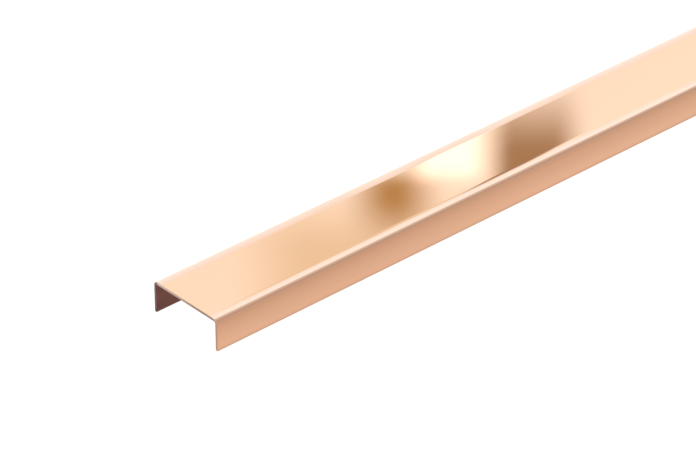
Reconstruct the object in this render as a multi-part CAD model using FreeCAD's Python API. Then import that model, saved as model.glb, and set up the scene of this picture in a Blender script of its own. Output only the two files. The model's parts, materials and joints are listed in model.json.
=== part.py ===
import FreeCAD, Part

import math
import os

# Decorative U-shaped trim strip for tiled walls: one narrow strip of thin sheet with its two long
# edges folded down.
# It lies on its two cut edges, open side down. X runs along it, Y across its face and Z up, and the
# origin is on the surface that it lies on, under the middle of the strip. All sizes are in mm.

# Driving sizes
LENGTH = 598.0  # cut to match a 600 mm tile less its joint
FACE_WIDTH = 20.0  # over both flanges
DEPTH = 7.5  # from the face to the cut edges of the flanges
SHEET = 0.6  # thickness of the sheet
INNER_BEND = 0.6  # radius inside each fold

# Worked out from them
OUTER_BEND = INNER_BEND + SHEET


def point(y, z):
    """A point of the section, at the end of the strip where the section is swept from."""
    return FreeCAD.Vector(-LENGTH / 2, y, z)


def line(start, end):
    return Part.LineSegment(point(*start), point(*end)).toShape()


def fold(centre_y, centre_z, radius, side):
    """The quarter arc of one fold, from the flange up to the face. side is -1 or 1, as Y is."""
    half = math.sqrt(0.5) * radius
    flange_end = point(centre_y + side * radius, centre_z)
    middle = point(centre_y + side * half, centre_z + half)
    face_end = point(centre_y, centre_z + radius)
    return Part.Arc(flange_end, middle, face_end).toShape()


def skin(half_width, top, radius):
    """One side of the sheet seen on its end: up a flange, over the face and down the other flange."""
    straight_y = half_width - radius
    straight_z = top - radius
    return [
        line((-half_width, 0), (-half_width, straight_z)),
        fold(-straight_y, straight_z, radius, -1),
        line((-straight_y, top), (straight_y, top)),
        fold(straight_y, straight_z, radius, 1),
        line((half_width, straight_z), (half_width, 0)),
    ]


def section():
    """The closed outline of the folded sheet."""
    outer_y = FACE_WIDTH / 2
    inner_y = outer_y - SHEET
    outside = skin(outer_y, DEPTH, OUTER_BEND)
    inside = skin(inner_y, DEPTH - SHEET, INNER_BEND)
    cut_edges = [line((side * inner_y, 0), (side * outer_y, 0)) for side in (-1, 1)]
    edges = Part.sortEdges(outside + inside + cut_edges)[0]
    return Part.Face(Part.Wire(edges))


def trim_strip():
    """The strip is folded from one piece, so it is one solid."""
    return section().extrude(FreeCAD.Vector(LENGTH, 0, 0))


os.makedirs("parts", exist_ok=True)
trim_strip().exportStep("parts/trim_strip.step")
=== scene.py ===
# %% [markdown]
# # A polished trim strip
#
# The object is one narrow strip of thin stainless steel sheet. Its two long edges are folded down, so
# that its section is a shallow U, and it has a copper-coloured coating over a mirror polish. Such
# strips are set between wall tiles as a decorative line.
#
# Its shape takes a few steps. Its looks take more, because a mirror shows what stands around it: most
# of this lesson is about the finish and about what the strip reflects.

# %% Load the strip and read its sizes
import json
import math

import bmesh
import bpy
from mathutils import Matrix, Vector


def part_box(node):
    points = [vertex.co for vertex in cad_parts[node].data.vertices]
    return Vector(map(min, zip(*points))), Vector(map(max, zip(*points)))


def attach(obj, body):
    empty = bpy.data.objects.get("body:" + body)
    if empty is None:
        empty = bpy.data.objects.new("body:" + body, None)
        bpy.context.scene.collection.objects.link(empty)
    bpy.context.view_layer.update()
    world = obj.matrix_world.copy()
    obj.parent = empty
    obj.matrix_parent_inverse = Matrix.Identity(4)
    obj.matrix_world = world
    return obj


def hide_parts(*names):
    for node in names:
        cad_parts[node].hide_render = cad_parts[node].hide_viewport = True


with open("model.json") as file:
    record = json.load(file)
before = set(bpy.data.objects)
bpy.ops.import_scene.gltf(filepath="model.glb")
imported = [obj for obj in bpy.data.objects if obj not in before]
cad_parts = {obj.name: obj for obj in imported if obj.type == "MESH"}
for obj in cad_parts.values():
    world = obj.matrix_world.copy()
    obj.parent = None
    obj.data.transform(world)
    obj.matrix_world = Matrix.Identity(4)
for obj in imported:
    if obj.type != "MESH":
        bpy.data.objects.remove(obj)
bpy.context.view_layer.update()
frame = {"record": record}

MM = 0.001
low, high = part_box("trim_strip")
mounts = {mount["name"]: mount for mount in frame["record"]["mounts"]}
length = high.x - low.x
width = high.y - low.y
depth = high.z - low.z
sheet = high.z - mounts["bonding_face"]["pos_m"][2]
print(f"strip {length / MM:.1f} x {width / MM:.1f} x {depth / MM:.2f} mm, sheet {sheet / MM:.2f} mm")

# %% [markdown]
# ## The camera
#
# The camera looks down at one open end of the strip from the side, with a long lens. It stands where
# three offsets from the top of that end put it: along its own line of sight, to its right and up. A
# camera could be aimed by a Track To constraint instead. Plain numbers say exactly where it is.

# %% Camera
VIEW_AZIMUTH = math.radians(-41.98)
VIEW_ELEVATION = math.radians(32.388)
VIEW_BACK = 726.48 * MM
VIEW_RIGHT = 33.06 * MM
VIEW_UP = 13.09 * MM

backwards = Vector((
    math.sin(VIEW_AZIMUTH) * math.cos(VIEW_ELEVATION),
    -math.cos(VIEW_AZIMUTH) * math.cos(VIEW_ELEVATION),
    math.sin(VIEW_ELEVATION),
))
rightwards = Vector((math.cos(VIEW_AZIMUTH), math.sin(VIEW_AZIMUTH), 0))
upwards = backwards.cross(rightwards)
near_end = Vector((low.x, 0, high.z))

camera_data = bpy.data.cameras.new("camera")
camera_data.lens = 185.1
camera_data.sensor_width = 36
camera_data.clip_start = 0.01
camera_data.clip_end = 100
camera = bpy.data.objects.new("camera", camera_data)
camera.location = near_end + backwards * VIEW_BACK + rightwards * VIEW_RIGHT + upwards * VIEW_UP
camera.rotation_mode = "QUATERNION"
camera.rotation_quaternion = (-backwards).to_track_quat("-Z", "Y")
bpy.context.scene.collection.objects.link(camera)
bpy.context.scene.camera = camera
print("camera at", [round(c, 4) for c in camera.location])

# %% [markdown]
# ## The folded sheet
#
# The real strip is cut from flat sheet and folded twice in a press brake or a roll former. It could be
# drawn as a section and swept, but the folds are easier to see as they happen: a plane for the flat of
# the face, its two long edges extruded outwards and down, the corners bevelled round as the outside
# of each fold, and a Solidify modifier that adds the sheet's thickness on the inside. Solidify also
# tells the outside, the inside and the cut edges apart, so each can have its own finish.
#
# A folded sheet doesn't go from flat to bent at once: it leans a little before the tight fold. A mirror
# finish shows that as a bright band beside each fold, so the lean is modelled too.

# %% Helpers for modelling
def start_clean():
    """Leaves edit mode and deselects everything, because an operator acts on all that is selected."""
    if bpy.context.object and bpy.context.object.mode != "OBJECT":
        bpy.ops.object.mode_set(mode="OBJECT")
    bpy.ops.object.select_all(action="DESELECT")


def select_edges(piece, chosen):
    """Selects the edges of a piece in edit mode whose two ends pass a test. Returns their number."""
    bpy.ops.mesh.select_mode(type="EDGE")
    bpy.ops.mesh.select_all(action="DESELECT")
    mesh = bmesh.from_edit_mesh(piece.data)
    found = [edge for edge in mesh.edges if chosen(edge.verts[0].co, edge.verts[1].co)]
    for edge in found:
        edge.select = True
    mesh.select_flush_mode()
    bmesh.update_edit_mesh(piece.data)
    return len(found)


def apply_modifier(piece, kind, **settings):
    """Adds a modifier with these settings and applies it at once."""
    modifier = piece.modifiers.new(kind.lower(), kind)
    for name, value in settings.items():
        setattr(modifier, name, value)
    bpy.context.view_layer.objects.active = piece
    bpy.ops.object.modifier_apply(modifier=modifier.name)


def near(value, wanted):
    return abs(value - wanted) < 0.01 * MM


# %% Face and flanges
FOLD_RADIUS = 0.9 * MM
LEAD_ANGLE = math.radians(2.5)  # the sheet already leans this much where the tight fold begins
FACE_LEAD = 1.9 * MM  # how far in from the side the face begins to lean
FLANGE_LEAD = 1.6 * MM  # how far below the face the flange becomes upright
LENGTH_CUTS = 23  # even steps along the strip keep its faces from being long slivers

lean = math.tan(LEAD_ANGLE)
face_side = width / 2 - FACE_LEAD
corner_y = (width / 2 - FLANGE_LEAD * lean - face_side * lean ** 2) / (1 - lean ** 2)
corner_z = high.z - (corner_y - face_side) * lean
outline = [  # distance from the middle line, and height
    (face_side, high.z),
    (corner_y, corner_z),
    (width / 2, high.z - FLANGE_LEAD),
    (width / 2, low.z),
]

start_clean()
middle = ((low.x + high.x) / 2, (low.y + high.y) / 2, high.z)
bpy.ops.mesh.primitive_plane_add(size=1, location=middle)
strip = bpy.context.object
strip.name = "folded_trim_strip"
strip.data.name = "folded_trim_strip"
strip.scale = (length, 2 * face_side, 1)
bpy.ops.object.transform_apply(location=True, rotation=True, scale=True)


def lengthwise(y, z):
    """A test for edges that run along the strip at this distance from its middle and this height."""
    return lambda a, b: near(a.y, b.y) and near(abs(a.y), y) and near(a.z, z) and near(b.z, z)


bpy.ops.object.mode_set(mode="EDIT")
select_edges(strip, lengthwise(*outline[0]))
for (y, z), (next_y, next_z) in zip(outline, outline[1:]):
    bpy.ops.mesh.extrude_region_move(TRANSFORM_OT_translate={"value": (0, 0, next_z - z)})
    bpy.ops.transform.resize(value=(1, next_y / y, 1), center_override=(0, 0, 0))

FOLDS = (  # which corner of the outline, how far its rounding reaches on both sides, its segments
    (0, 1.0 * MM, 14),
    (2, 0.6 * MM, 10),
    (1, FOLD_RADIUS * math.tan(math.pi / 4 - LEAD_ANGLE), 28),
)
for corner, reach, segments in FOLDS:
    found = select_edges(strip, lengthwise(*outline[corner]))
    bpy.ops.mesh.bevel(offset=reach, offset_type="OFFSET", segments=segments, profile=0.5)
    print(found, "edges rounded at", [round(value / MM, 2) for value in outline[corner]])

# %% Even steps along the strip, and the faces turned outwards
bpy.ops.mesh.select_all(action="SELECT")
bpy.ops.mesh.remove_doubles(threshold=0.001 * MM)
for step in range(1, LENGTH_CUTS + 1):
    bpy.ops.mesh.select_all(action="SELECT")
    bpy.ops.mesh.bisect(plane_co=(low.x + length * step / (LENGTH_CUTS + 1), 0, 0), plane_no=(1, 0, 0))
bpy.ops.mesh.select_all(action="SELECT")
bpy.ops.mesh.normals_make_consistent(inside=False)
bpy.ops.object.mode_set(mode="OBJECT")
top_faces = [face for face in strip.data.polygons if near(face.center.z, high.z)]
if top_faces[0].normal.z < 0:
    strip.data.flip_normals()
print(len(strip.data.polygons), "faces, face upwards:", top_faces[0].normal.z > 0)

# %% Thickness, softened cut edges and smooth folds
OUTSIDE, INSIDE, CUT_EDGE = 0, 1, 2
EDGE_ROUNDING = 0.05 * MM  # a sheared edge is never quite sharp
for slot_name in ("outside", "inside", "cut edge"):
    strip.data.materials.append(None)
apply_modifier(strip, "SOLIDIFY", thickness=sheet, offset=-1, use_even_offset=True,
               material_offset=INSIDE, material_offset_rim=CUT_EDGE)
apply_modifier(strip, "BEVEL", width=EDGE_ROUNDING, segments=2, limit_method="ANGLE",
               angle_limit=math.radians(60))
start_clean()
strip.select_set(True)
bpy.context.view_layer.objects.active = strip
bpy.ops.object.shade_smooth_by_angle(angle=math.radians(40))
apply_modifier(strip, "WEIGHTED_NORMAL", weight=100, keep_sharp=True)
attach(strip, "root")
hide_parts("trim_strip")
print(len(strip.data.polygons), "faces after the thickness and the softened edges")

# %% [markdown]
# ## Finishes
#
# Three finishes show: the polished outside, the duller inside, whose colour is darkened as painted
# shade, and the bare steel where the sheet was cut, with painted light on the near flange's edge. All
# three are metals, so each has Metallic at 1, and its colour is the colour of its reflection.
# They could be one material with a mask. Three are easier to read, and Solidify has already sorted the
# faces. Marks finer than about 0.2 mm wouldn't show, so polishing lines and grain are that coarse.

# %% Helpers for materials
def linear(code):
    """An sRGB hex colour as linear red, green, blue and alpha."""
    channels = [int(code[i:i + 2], 16) / 255 for i in (1, 3, 5)]
    return [*(c / 12.92 if c <= 0.04045 else ((c + 0.055) / 1.055) ** 2.4 for c in channels), 1]


def add_node(tree, kind, inputs=None, **settings):
    """Adds a node. inputs gives a socket, by name or number, its value or the output linked to it."""
    node = tree.nodes.new(kind)
    for name, value in settings.items():
        setattr(node, name, value)
    for socket, value in (inputs or {}).items():
        if isinstance(value, bpy.types.NodeSocket):
            tree.links.new(value, node.inputs[socket])
        else:
            node.inputs[socket].default_value = value
    return node


def new_material(name):
    """An empty material, its node tree and its output node."""
    material = bpy.data.materials.new(name)
    material.use_nodes = True
    material.node_tree.nodes.clear()
    return material, material.node_tree, add_node(material.node_tree, "ShaderNodeOutputMaterial")


def stretched_noise(tree, size_mm, detail=2.0, roughness=0.5, offset=(0, 0, 0)):
    """Noise whose features are about size_mm large along X, Y and Z."""
    place = add_node(tree, "ShaderNodeTexCoord")
    scale = [1 / (s * MM) for s in size_mm]
    mapping = add_node(tree, "ShaderNodeMapping",
                       {"Vector": place.outputs["Object"], "Scale": scale, "Location": offset})
    noise = add_node(tree, "ShaderNodeTexNoise", {
        "Vector": mapping.outputs[0], "Scale": 1.0, "Detail": detail, "Roughness": roughness})
    return noise.outputs[0]


def ranged(tree, value, low_out, high_out, low_in=0.3, high_in=0.7):
    """A value moved from one range to another. Most noise lies between 0.3 and 0.7."""
    return add_node(tree, "ShaderNodeMapRange", {
        "Value": value, "From Min": low_in, "From Max": high_in, "To Min": low_out, "To Max": high_out,
    }).outputs[0]


# %% Mirror-polished copper-coloured coating
def polished_coating():
    """Bright-polished steel under a thin coloured coating. The eye gets a clear mirror in copper, with
    a slight drift of colour, and slow waves where thin sheet is never quite flat."""
    material, tree, output = new_material("mirror polished copper coating")
    drift = stretched_noise(tree, (220, 60, 60), detail=1)
    colour = add_node(tree, "ShaderNodeMix", {
        0: ranged(tree, drift, 0, 1), 6: linear("#F2C0A1"), 7: linear("#ECB897")}, data_type="RGBA")
    lines = stretched_noise(tree, (60, 0.25, 0.25), detail=3)
    roughness = ranged(tree, lines, 0.015, 0.04)
    waves = stretched_noise(tree, (45, 22, 22), detail=1)
    bump = add_node(tree, "ShaderNodeBump", {"Height": waves, "Strength": 1.0, "Distance": 0.008 * MM})
    shader = add_node(tree, "ShaderNodeBsdfPrincipled", {
        "Base Color": colour.outputs[2], "Metallic": 1, "Roughness": roughness,
        "Normal": bump.outputs[0]})
    tree.links.new(shader.outputs[0], output.inputs[0])
    return material


# %% Unpolished back of the sheet
def unpolished_back_with_painted_shade():
    """Mill-finished steel that caught a little of the coating, with soft blotches and a grain along the
    strip. Its colour is also darkened to a dull purplish brown: painted shade, for the shade inside the
    channel."""
    material, tree, output = new_material("unpolished back with thin coating and painted shade")
    blotches = stretched_noise(tree, (14, 5, 5), detail=3)
    # Both browns are much darker than the coating: painted shade, as inside the channel.
    colour = add_node(tree, "ShaderNodeMix", {
        0: ranged(tree, blotches, 0, 1), 6: linear("#A0716A"), 7: linear("#885D57")}, data_type="RGBA")
    grain = stretched_noise(tree, (6, 0.2, 0.2), detail=2)
    shader = add_node(tree, "ShaderNodeBsdfPrincipled", {
        "Base Color": colour.outputs[2], "Metallic": 1, "Roughness": ranged(tree, grain, 0.28, 0.42)})
    tree.links.new(shader.outputs[0], output.inputs[0])
    return material


# %% Sheared steel edge
def sheared_edge():
    """Bare steel left by the shear. The eye gets a thin pale grey line with a satin, smeared look. On
    the near flange its colour is painted warmer and brighter: painted light, as falls on that flange's
    face. On the other flange it is darker.
    """
    material, tree, output = new_material("sheared stainless steel edge")
    smear = stretched_noise(tree, (1.5, 4, 2), detail=2)
    steel = add_node(tree, "ShaderNodeMix", {
        0: ranged(tree, smear, 0, 1), 6: linear("#C2AFA2"), 7: linear("#D8BBA8")}, data_type="RGBA")
    place = add_node(tree, "ShaderNodeTexCoord")
    apart = add_node(tree, "ShaderNodeSeparateXYZ", {0: place.outputs["Object"]})
    # The near flange's edge is painted warm and bright, as the light on its face: painted light. The
    # other flange's edge is darker and purplish grey.
    near_edge_painted_light = add_node(tree, "ShaderNodeMapRange", {
        "Value": apart.outputs[1], "From Min": low.y + 1.5 * MM, "From Max": low.y + 0.6 * MM,
        "To Min": 0, "To Max": 1})
    darker_far_edge = add_node(tree, "ShaderNodeMapRange", {
        "Value": apart.outputs[1], "From Min": high.y - 1.5 * MM, "From Max": high.y - 0.6 * MM,
        "To Min": 0, "To Max": 1})
    colour = add_node(tree, "ShaderNodeMix", {
        0: near_edge_painted_light.outputs[0], 6: steel.outputs[2], 7: linear("#F4CBB0")}, data_type="RGBA")
    colour = add_node(tree, "ShaderNodeMix", {
        0: darker_far_edge.outputs[0], 6: colour.outputs[2], 7: linear("#7A6666")}, data_type="RGBA")
    grain = stretched_noise(tree, (0.2, 0.2, 0.2), detail=2)
    shader = add_node(tree, "ShaderNodeBsdfPrincipled", {
        "Base Color": colour.outputs[2], "Metallic": 1, "Roughness": ranged(tree, grain, 0.35, 0.5)})
    tree.links.new(shader.outputs[0], output.inputs[0])
    return material


finishes = {OUTSIDE: polished_coating(), INSIDE: unpolished_back_with_painted_shade(), CUT_EDGE: sheared_edge()}
for index, finish in finishes.items():
    strip.data.materials[index] = finish
    print(finish.name, "on", sum(face.material_index == index for face in strip.data.polygons), "faces")

# %% [markdown]
# ## Floor and light
#
# The strip lies on a plain white floor under soft, even light from all round. The floor glows a little
# of its own, as a light table does, so the strip hardly shades it.

# %% Floor and even light
STAGE_SIZE = 60
ROOM_LIGHT = 1.3
FLOOR_GLOW = 0.97
FLOOR_PAINT = 0.15
start_clean()
bpy.ops.mesh.primitive_plane_add(size=STAGE_SIZE, location=(0, 0, low.z))
floor = bpy.context.object
floor.name = "floor"
floor_material, tree, output = new_material("white floor")
paint = add_node(tree, "ShaderNodeBsdfDiffuse", {"Color": (FLOOR_PAINT, FLOOR_PAINT, FLOOR_PAINT, 1)})
light_table = add_node(tree, "ShaderNodeEmission", {"Color": (1, 1, 1, 1), "Strength": FLOOR_GLOW})
both = add_node(tree, "ShaderNodeAddShader", {0: paint.outputs[0], 1: light_table.outputs[0]})
tree.links.new(both.outputs[0], output.inputs[0])
floor.data.materials.append(floor_material)
floor.visible_glossy = False

world = bpy.data.worlds.new("studio")
bpy.context.scene.world = world
world.use_nodes = True
world.node_tree.nodes.clear()
background = add_node(world.node_tree, "ShaderNodeBackground",
                      {"Color": (1, 1, 1, 1), "Strength": ROOM_LIGHT})
world_output = add_node(world.node_tree, "ShaderNodeOutputWorld", {0: background.outputs[0]})
bpy.context.scene.view_settings.view_transform = "Standard"

# %% [markdown]
# ## What the polish reflects
#
# A mirror finish has hardly a look of its own: it shows what stands around it. Under one even light it
# would look like flat paint, so the strip is lit as polished metal is in a studio: by a soft, nearly
# even tent, by one wide panel in it, by a pale sheet under the strip and by a few cards at the back.
# Only reflections see these things, so they neither light the floor nor hide the strip from a camera.
#
# The tent is half a tube round the line of the strip, and its light depends on how far round it a
# point lies: 0 degrees is the horizon behind the strip, 90 is overhead and 180 the horizon in front.
# The panel is a stretch of the tent that is bright low down at the back and dim in front, so that the
# folds look round. Everywhere else the even tent leaves the metal its own copper colour.

# %% Helpers for things that only reflections see
RAMP_TOP = 4.0  # a ramp holds colours up to 1, so they are kept as shares of this radiance


def only_in_reflections(thing):
    thing.visible_camera = False
    thing.visible_diffuse = False
    thing.visible_shadow = False


def ramp(tree, value, stops):
    """A colour ramp through stops of (place from 0 to 1, radiance up to RAMP_TOP)."""
    node = add_node(tree, "ShaderNodeValToRGB", {0: value})
    elements = node.color_ramp.elements
    elements.remove(elements[1])
    for number, (place, radiance) in enumerate(stops):
        element = elements[0] if number == 0 else elements.new(place)
        element.position = place
        element.color = (*(channel / RAMP_TOP for channel in radiance), 1)
    return node.outputs[0]


def fade(tree, value, nothing, full):
    """Rises softly from 0 to 1 as a value goes from one limit to the other."""
    return add_node(tree, "ShaderNodeMapRange",
                    {"Value": value, "From Min": nothing, "From Max": full, "To Min": 0, "To Max": 1},
                    interpolation_type="SMOOTHSTEP").outputs[0]


def math_node(tree, operation, *values):
    return add_node(tree, "ShaderNodeMath", dict(enumerate(values)), operation=operation).outputs[0]


def mix(tree, share, below, above):
    return add_node(tree, "ShaderNodeMix", {0: share, 6: below, 7: above}, data_type="RGBA").outputs[2]


def card(tree, below, across, up, limits, radiance):
    """Lays a soft-edged card over what is below. limits has four pairs, for its left, right, lower and
    upper edge: where it begins to show and where it is full."""
    cover = 1.0
    for value, (nothing, full) in zip((across, across, up, up), limits):
        cover = math_node(tree, "MULTIPLY", fade(tree, value, nothing, full), cover)
    return mix(tree, cover, below, (*radiance, 1))


def place_of(tree):
    """The point's x, y and z in metres, as three sockets."""
    place = add_node(tree, "ShaderNodeTexCoord")
    return add_node(tree, "ShaderNodeSeparateXYZ", {0: place.outputs["Object"]}).outputs


def round_angle(tree, place):
    """How far round the strip's line a point lies, in degrees."""
    turn = math_node(tree, "ARCTAN2", place[2], place[1])
    return math_node(tree, "MULTIPLY", turn, 180 / math.pi)


def glow(tree, output, colour, strength=1.0):
    lamp = add_node(tree, "ShaderNodeEmission", {"Color": colour, "Strength": strength})
    tree.links.new(lamp.outputs[0], output.inputs[0])


def tinted(level, warmth):
    """White light of this level, made warmer, or cooler where warmth is negative."""
    return (level * (1 + warmth), level, level * (1 - warmth))


def graded(tree, value, rows):
    """Rows of (value, level, warmth) as one colour socket that changes evenly from row to row."""
    first, last = rows[0][0], rows[-1][0]
    share = add_node(tree, "ShaderNodeMapRange", {
        "Value": value, "From Min": first, "From Max": last, "To Min": 0, "To Max": 1}).outputs[0]
    return ramp(tree, share, [((place - first) / (last - first), tinted(level, warmth))
                              for place, level, warmth in rows])


# %% Light tent
TENT_RADIUS = 3.0
TENT_LENGTH = 16
TENT_ROWS = (  # degrees round, level, warmth
    (0, 0.8, 0), (45, 1.0, 0), (110, 1.05, 0), (180, 0.7, 0))
PANEL_ROWS = (  # the same
    (0, 1.7, -0.2), (35, 1.6, -0.2), (40, 1.3, -0.2),
    (45, 1.6, -0.2),  # a strip light just over the backdrop, which draws a pale line along the fold
    (55, 1.1, -0.15), (100, 0.75, -0.05), (140, 0.55, 0), (180, 0.65, 0))
PANEL_FROM, PANEL_TO = (1.2, 1.4), (2.7, 2.4)  # metres along the tent, as (nothing, full)
start_clean()
bpy.ops.mesh.primitive_cylinder_add(vertices=192, radius=TENT_RADIUS, depth=TENT_LENGTH,
                                    end_fill_type="NOTHING", rotation=(0, math.pi / 2, 0))
tent = bpy.context.object
tent.name = "light_tent"
bpy.ops.object.transform_apply(location=True, rotation=True, scale=True)
bpy.ops.object.mode_set(mode="EDIT")
bpy.ops.mesh.select_all(action="SELECT")
bpy.ops.mesh.bisect(plane_co=(0, 0, 0), plane_no=(0, 0, 1), clear_inner=True)
bpy.ops.object.mode_set(mode="OBJECT")
tent_material, tree, output = new_material("light tent")
place = place_of(tree)
angle = round_angle(tree, place)
panel = math_node(tree, "MULTIPLY", fade(tree, place[0], *PANEL_FROM), fade(tree, place[0], *PANEL_TO))
colour = mix(tree, panel, graded(tree, angle, TENT_ROWS), graded(tree, angle, PANEL_ROWS))
glow(tree, output, colour, RAMP_TOP)
tent.data.materials.append(tent_material)
only_in_reflections(tent)

# %% Sheet under the strip
SHEET_DROP = 0.05 * MM  # just under the floor, which reflections don't see
UNDER_ROWS = (  # millimetres from the strip's middle line, level, warmth
    # Just beside the strip the sheet is brighter: painted light, for the glow the flanges throw onto
    # the floor.
    (-100, 0.7, 0.1), (-20, 0.6, 0.1), (-11, 0.85, 0.05),
    (-9, 0.45, 0.1), (9, 0.45, 0.1),  # in the shade of the strip
    (11, 1.0, 0), (40, 1.2, 0))
start_clean()
bpy.ops.mesh.primitive_plane_add(size=STAGE_SIZE, location=(0, 0, low.z - SHEET_DROP))
under_sheet = bpy.context.object
under_sheet.name = "under_sheet"
under_material, tree, output = new_material("sheet under the strip")
place = place_of(tree)
off_line = math_node(tree, "MULTIPLY", place[1], 1 / MM)
colour = graded(tree, off_line, UNDER_ROWS)
glow(tree, output, colour, RAMP_TOP)
under_sheet.data.materials.append(under_material)
only_in_reflections(under_sheet)

# %% [markdown]
# ## The backdrop
#
# Cards give polished metal its contrast: a soft box makes the brightest patch on the flat face, and a
# few dark and warm cards make the deep copper next to it. They could be lamps and boards of their own.
# Soft-edged patches on one upright backdrop do the same. It is cut to the narrow band that the flat
# face sees, so that the folds see the tent.

# %% Backdrop with its cards
BACKDROP_DISTANCE = 2.5
BACKDROP_SIZE = (0.75, 1.2)
BACKDROP_SIDEWAYS, BACKDROP_HEIGHT = 0.12, 1.5  # where its middle is
PALE_WALL = (1.2, 1.4, 1.45, 1)
PAST_TOP = (2500, 2499)  # the upper edge of a card that reaches past the top
FACE_SEES_FROM, FACE_SEES_TO = (38.3, 39.4), (43.4, 42.3)  # degrees round, as (nothing, full)
BACKDROP_CARDS = {  # edges in millimetres: left, right, lower and upper, each as (nothing, full)
    "tan card": ((-100, 0), (240, 140), (1520, 1600), PAST_TOP, (1.0, 1.05, 0.9)),
    "gold card": ((20, 80), (140, 80), (1490, 1520), (1600, 1530), (0.55, 0.4, 0.15)),
    "soft box": ((90, 120), (180, 150), (1400, 1450), (1520, 1490), (2.4, 2.4, 2.6)),
    "brown card": ((170, 200), (280, 240), (1380, 1480), PAST_TOP, (0.45, 0.35, 0.22)),
}
wall_forward = Vector((-backwards.x, -backwards.y, 0)).normalized()
wall_side = Vector((wall_forward.y, -wall_forward.x, 0))
strip_end = Vector((low.x, 0, 0))
start_clean()
bpy.ops.mesh.primitive_plane_add(size=1)
backdrop = bpy.context.object
backdrop.name = "backdrop"
backdrop.rotation_mode = "QUATERNION"
facing = Matrix((wall_side, (0, 0, 1), -wall_forward)).transposed()
backdrop.rotation_quaternion = facing.to_quaternion()
backdrop.scale = (*BACKDROP_SIZE, 1)
backdrop.location = (strip_end + wall_forward * BACKDROP_DISTANCE + wall_side * BACKDROP_SIDEWAYS
                     + Vector((0, 0, BACKDROP_HEIGHT)))
bpy.ops.object.transform_apply(location=True, rotation=True, scale=True)
backdrop_material, tree, output = new_material("backdrop")
place = place_of(tree)
angle = round_angle(tree, place)
past_end = math_node(tree, "SUBTRACT", place[0], strip_end.x)
along_x = math_node(tree, "MULTIPLY", past_end, wall_side.x / MM)
across = math_node(tree, "ADD", along_x, math_node(tree, "MULTIPLY", place[1], wall_side.y / MM))
up = math_node(tree, "MULTIPLY", place[2], 1 / MM)
colour = PALE_WALL
for *limits, radiance in BACKDROP_CARDS.values():
    colour = card(tree, colour, across, up, limits, radiance)
seen = math_node(tree, "MULTIPLY", fade(tree, angle, *FACE_SEES_FROM), fade(tree, angle, *FACE_SEES_TO))
lamp = add_node(tree, "ShaderNodeEmission", {"Color": colour, "Strength": 1.0})
clear = add_node(tree, "ShaderNodeBsdfTransparent")
cut_out = add_node(tree, "ShaderNodeMixShader", {0: seen, 1: clear.outputs[0], 2: lamp.outputs[0]})
tree.links.new(cut_out.outputs[0], output.inputs[0])
backdrop.data.materials.append(backdrop_material)
only_in_reflections(backdrop)
print("tent, sheet and backdrop made")
